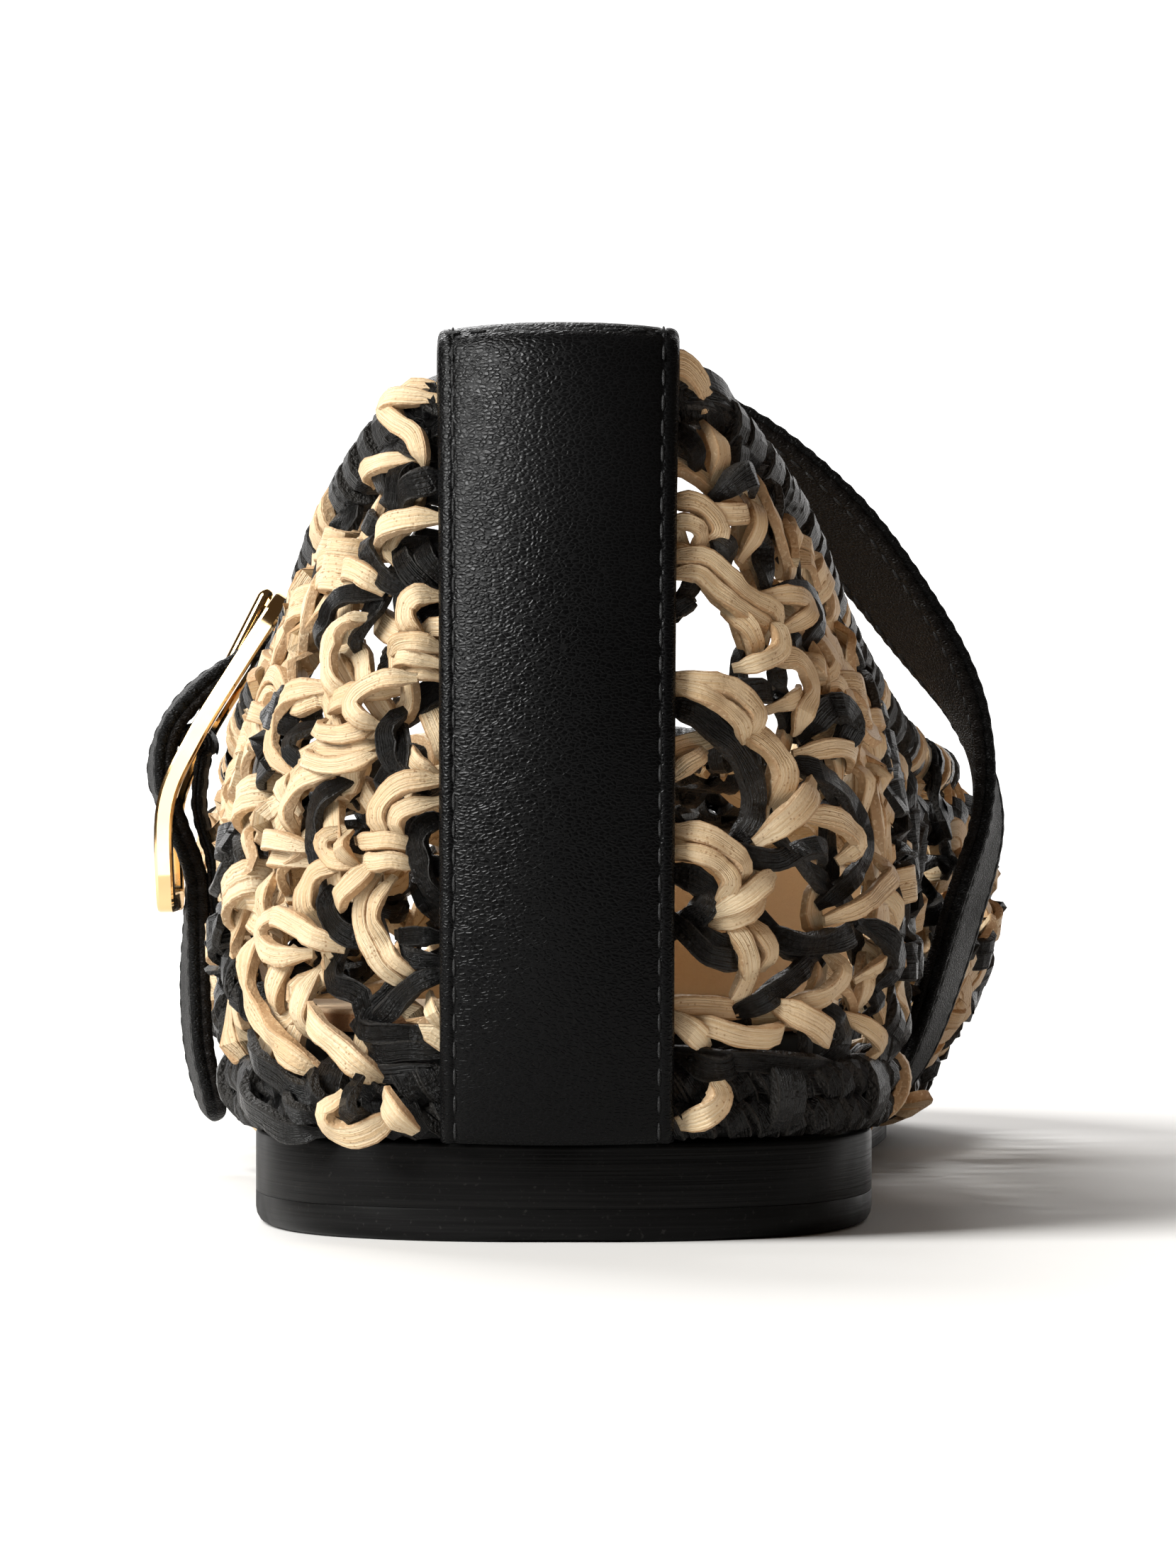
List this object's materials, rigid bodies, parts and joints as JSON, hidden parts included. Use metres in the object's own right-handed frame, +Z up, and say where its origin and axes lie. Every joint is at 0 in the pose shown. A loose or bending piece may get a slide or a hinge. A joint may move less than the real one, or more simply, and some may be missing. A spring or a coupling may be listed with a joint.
{
  "type": "strappy ballet flat",
  "caption": "Left ballet flat with an open knotted leather net upper, a black back strip, a low heel and a buckled instep strap.",
  "frame": {"origin": "centre of the bounding box on the floor", "axes": "+Y from heel to toe, +X to the inner (medial) side, +Z up"},
  "size_m": [0.0868, 0.248, 0.0801],
  "materials": {
    "sole_black": "satin dyed edge",
    "lift_rubber": "matte",
    "midsole_black": "matte",
    "insole_leather": "smooth with a raw edge",
    "net_leather": "natural and black strips, smooth with raw edges",
    "black_leather": "fine pebble grain, semi-gloss",
    "buckle_metal": "polished gold colour"
  },
  "bodies": {
    "root": {"outsole": "sole_black", "heel_lift": "lift_rubber", "midsole": "midsole_black", "insole": "insole_leather", "upper": "net_leather", "back_strip": "black_leather", "instep_strap": "black_leather", "strap_tab": "black_leather", "buckle_frame": "buckle_metal", "buckle_prong": "buckle_metal"}
  },
  "joints": []
}
